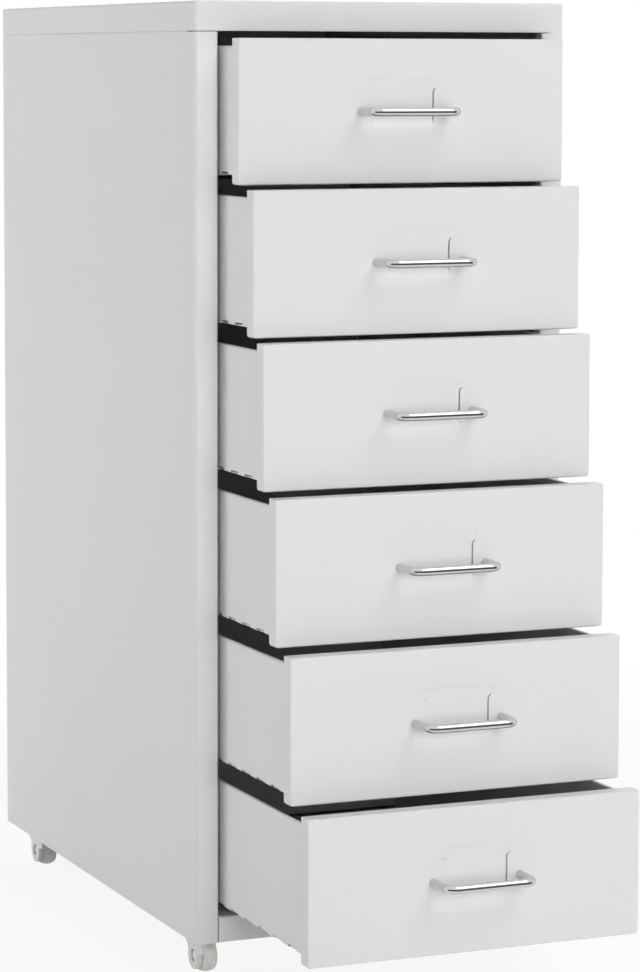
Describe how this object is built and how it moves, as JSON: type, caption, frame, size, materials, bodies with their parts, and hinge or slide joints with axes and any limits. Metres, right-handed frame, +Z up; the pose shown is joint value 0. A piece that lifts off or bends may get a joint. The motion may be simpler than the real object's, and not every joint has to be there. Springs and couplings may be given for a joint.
{
  "type": "drawer cabinet",
  "caption": "Narrow sheet-steel cabinet on swivel casters, with stacked drawers standing open in a cascade, each with a wire pull handle and a pressed label pocket.",
  "frame": {"origin": "on the floor, under the middle of the cabinet's footprint (drawers not counted)", "axes": "+Z up, +X to the right of someone facing the drawers, -Y the way the drawers open"},
  "size_m": [0.28, 0.6172, 0.686],
  "materials": {
    "white_enamel": "satin white stove enamel",
    "chrome_wire": "polished chrome plate",
    "zinc_hardware": "bright zinc plate",
    "white_plastic": "moulded white nylon",
    "grey_tread": "moulded grey plastic"
  },
  "bodies": {
    "cabinet": {"cover": "white_enamel", "side_panel_left": "white_enamel", "side_panel_right": "white_enamel", "back_panel": "white_enamel", "base_panel": "white_enamel", "runner_left_1": "white_enamel", "runner_left_2": "white_enamel", "runner_left_3": "white_enamel", "runner_left_4": "white_enamel", "runner_left_5": "white_enamel", "runner_left_6": "white_enamel", "runner_right_1": "white_enamel", "runner_right_2": "white_enamel", "runner_right_3": "white_enamel", "runner_right_4": "white_enamel", "runner_right_5": "white_enamel", "runner_right_6": "white_enamel", "panel_screws": "zinc_hardware", "caster_nuts": "zinc_hardware", "caster_stem_1": "zinc_hardware", "caster_stem_2": "zinc_hardware", "caster_stem_3": "zinc_hardware", "caster_stem_4": "zinc_hardware"},
    "drawer_1": {"drawer_front_1": "white_enamel", "drawer_tray_1": "white_enamel", "handle_1": "chrome_wire", "handle_screws_1": "zinc_hardware"},
    "drawer_2": {"drawer_front_2": "white_enamel", "drawer_tray_2": "white_enamel", "handle_2": "chrome_wire", "handle_screws_2": "zinc_hardware"},
    "drawer_3": {"drawer_front_3": "white_enamel", "drawer_tray_3": "white_enamel", "handle_3": "chrome_wire", "handle_screws_3": "zinc_hardware"},
    "drawer_4": {"drawer_front_4": "white_enamel", "drawer_tray_4": "white_enamel", "handle_4": "chrome_wire", "handle_screws_4": "zinc_hardware"},
    "drawer_5": {"drawer_front_5": "white_enamel", "drawer_tray_5": "white_enamel", "handle_5": "chrome_wire", "handle_screws_5": "zinc_hardware"},
    "drawer_6": {"drawer_front_6": "white_enamel", "drawer_tray_6": "white_enamel", "handle_6": "chrome_wire", "handle_screws_6": "zinc_hardware"},
    "caster_1": {"caster_fork_1": "white_plastic", "caster_axle_1": "zinc_hardware"},
    "caster_2": {"caster_fork_2": "white_plastic", "caster_axle_2": "zinc_hardware"},
    "caster_3": {"caster_fork_3": "white_plastic", "caster_axle_3": "zinc_hardware"},
    "caster_4": {"caster_fork_4": "white_plastic", "caster_axle_4": "zinc_hardware"},
    "wheel_1": {"caster_wheel_1": "grey_tread"},
    "wheel_2": {"caster_wheel_2": "grey_tread"},
    "wheel_3": {"caster_wheel_3": "grey_tread"},
    "wheel_4": {"caster_wheel_4": "grey_tread"}
  },
  "joints": [
    {"name": "drawer_slide_1", "type": "slide", "parent": "cabinet", "child": "drawer_1", "axis": [0, -1, 0], "range_m": [-0.035, 0.265]},
    {"name": "drawer_slide_2", "type": "slide", "parent": "cabinet", "child": "drawer_2", "axis": [0, -1, 0], "range_m": [-0.062, 0.238]},
    {"name": "drawer_slide_3", "type": "slide", "parent": "cabinet", "child": "drawer_3", "axis": [0, -1, 0], "range_m": [-0.08, 0.22]},
    {"name": "drawer_slide_4", "type": "slide", "parent": "cabinet", "child": "drawer_4", "axis": [0, -1, 0], "range_m": [-0.102, 0.198]},
    {"name": "drawer_slide_5", "type": "slide", "parent": "cabinet", "child": "drawer_5", "axis": [0, -1, 0], "range_m": [-0.128, 0.172]},
    {"name": "drawer_slide_6", "type": "slide", "parent": "cabinet", "child": "drawer_6", "axis": [0, -1, 0], "range_m": [-0.158, 0.142]},
    {"name": "caster_swivel_1", "type": "hinge", "parent": "cabinet", "child": "caster_1", "pos_m": [-0.117, -0.178, 0.03], "axis": [0, 0, 1], "continuous": true},
    {"name": "caster_swivel_2", "type": "hinge", "parent": "cabinet", "child": "caster_2", "pos_m": [0.117, -0.178, 0.03], "axis": [0, 0, 1], "continuous": true},
    {"name": "caster_swivel_3", "type": "hinge", "parent": "cabinet", "child": "caster_3", "pos_m": [-0.117, 0.178, 0.03], "axis": [0, 0, 1], "continuous": true},
    {"name": "caster_swivel_4", "type": "hinge", "parent": "cabinet", "child": "caster_4", "pos_m": [0.117, 0.178, 0.03], "axis": [0, 0, 1], "continuous": true},
    {"name": "wheel_spin_1", "type": "hinge", "parent": "caster_1", "child": "wheel_1", "pos_m": [-0.117, -0.1715, 0.012], "axis": [1, 0, 0], "continuous": true},
    {"name": "wheel_spin_2", "type": "hinge", "parent": "caster_2", "child": "wheel_2", "pos_m": [0.117, -0.1715, 0.012], "axis": [1, 0, 0], "continuous": true},
    {"name": "wheel_spin_3", "type": "hinge", "parent": "caster_3", "child": "wheel_3", "pos_m": [-0.117, 0.1845, 0.012], "axis": [1, 0, 0], "continuous": true},
    {"name": "wheel_spin_4", "type": "hinge", "parent": "caster_4", "child": "wheel_4", "pos_m": [0.117, 0.1845, 0.012], "axis": [1, 0, 0], "continuous": true}
  ]
}
